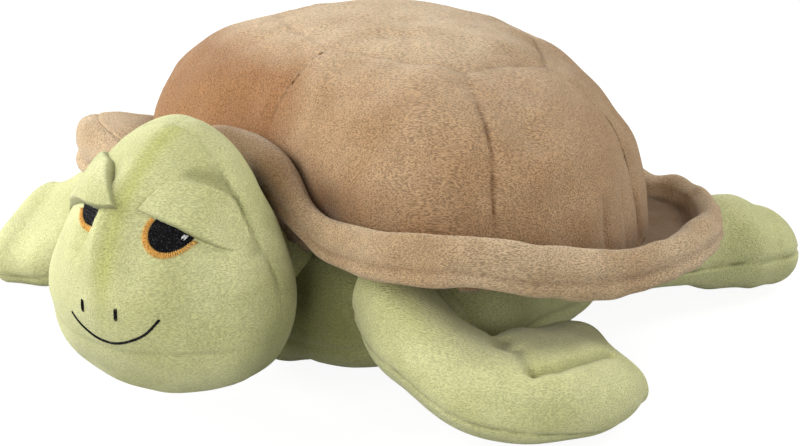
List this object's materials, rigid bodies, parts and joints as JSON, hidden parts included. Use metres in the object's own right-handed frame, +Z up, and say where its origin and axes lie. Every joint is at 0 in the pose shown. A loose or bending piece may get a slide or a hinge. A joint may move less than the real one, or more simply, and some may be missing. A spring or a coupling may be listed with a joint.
{
  "type": "plush turtle",
  "caption": "Soft stuffed sea turtle lying on its belly, with a domed seven-panel shell, a padded upturned rim, a turned head with embroidered eyes and four flippers.",
  "frame": {"origin": "middle of the belly's flat rest, on the surface that the toy lies on", "axes": "+X to the turtle's left, +Y to its tail, +Z up; the head points to -Y"},
  "size_m": [0.3176, 0.3341, 0.133],
  "materials": {
    "green_plush": "short-pile plush with a soft nap, pale yellow-green",
    "brown_plush": "short-pile plush with a soft nap, warm light brown",
    "filling": "loose polyester fibre, off-white",
    "orange_thread": "satin embroidery, orange",
    "black_thread": "satin embroidery, black",
    "white_thread": "satin embroidery, white"
  },
  "bodies": {
    "torso": {"belly_panel": "green_plush", "torso_side_panel": "green_plush", "torso_stuffing": "filling", "shell_crown_panel": "brown_plush", "shell_left_front_panel": "brown_plush", "shell_left_side_panel": "brown_plush", "shell_left_rear_panel": "brown_plush", "shell_right_front_panel": "brown_plush", "shell_right_side_panel": "brown_plush", "shell_right_rear_panel": "brown_plush", "shell_stuffing": "filling", "rim_upper_panel": "brown_plush", "rim_lower_panel": "brown_plush", "rim_wadding": "filling"},
    "neck": {"neck_band": "green_plush", "neck_stuffing": "filling"},
    "head": {"head_left_face_panel": "green_plush", "head_right_face_panel": "green_plush", "head_left_back_panel": "green_plush", "head_right_back_panel": "green_plush", "head_chin_panel": "green_plush", "head_stuffing": "filling", "left_eyelid": "green_plush", "left_iris": "orange_thread", "left_pupil": "black_thread", "left_eye_glint": "white_thread", "left_nostril": "black_thread", "right_eyelid": "green_plush", "right_iris": "orange_thread", "right_pupil": "black_thread", "right_eye_glint": "white_thread", "right_nostril": "black_thread", "mouth": "black_thread"},
    "left_front_flipper": {"left_front_flipper_upper_panel": "green_plush", "left_front_flipper_lower_panel": "green_plush", "left_front_flipper_stuffing": "filling"},
    "right_front_flipper": {"right_front_flipper_upper_panel": "green_plush", "right_front_flipper_lower_panel": "green_plush", "right_front_flipper_stuffing": "filling"},
    "left_rear_flipper": {"left_rear_flipper_upper_panel": "green_plush", "left_rear_flipper_lower_panel": "green_plush", "left_rear_flipper_stuffing": "filling"},
    "right_rear_flipper": {"right_rear_flipper_upper_panel": "green_plush", "right_rear_flipper_lower_panel": "green_plush", "right_rear_flipper_stuffing": "filling"}
  },
  "joints": [
    {"name": "head_nod", "type": "hinge", "parent": "torso", "child": "neck", "pos_m": [0, -0.068, 0.046], "axis": [1, 0, 0], "range_deg": [0, 16]},
    {"name": "head_turn", "type": "hinge", "parent": "neck", "child": "head", "pos_m": [0, -0.068, 0.046], "axis": [0, 0, 1], "range_deg": [-18, 2]},
    {"name": "left_front_flipper_flap", "type": "hinge", "parent": "torso", "child": "left_front_flipper", "pos_m": [0.064, -0.048, 0.034], "axis": [-0.2079, -0.9781, 0], "range_deg": [-25, 20]},
    {"name": "right_front_flipper_flap", "type": "hinge", "parent": "torso", "child": "right_front_flipper", "pos_m": [-0.064, -0.048, 0.034], "axis": [-0.2079, 0.9781, 0], "range_deg": [-25, 2]},
    {"name": "left_rear_flipper_flap", "type": "hinge", "parent": "torso", "child": "left_rear_flipper", "pos_m": [0.046, 0.088, 0.02], "axis": [0.9703, -0.2419, 0], "range_deg": [-25, 2]},
    {"name": "right_rear_flipper_flap", "type": "hinge", "parent": "torso", "child": "right_rear_flipper", "pos_m": [-0.046, 0.088, 0.02], "axis": [0.9703, 0.2419, 0], "range_deg": [-25, 2]}
  ]
}
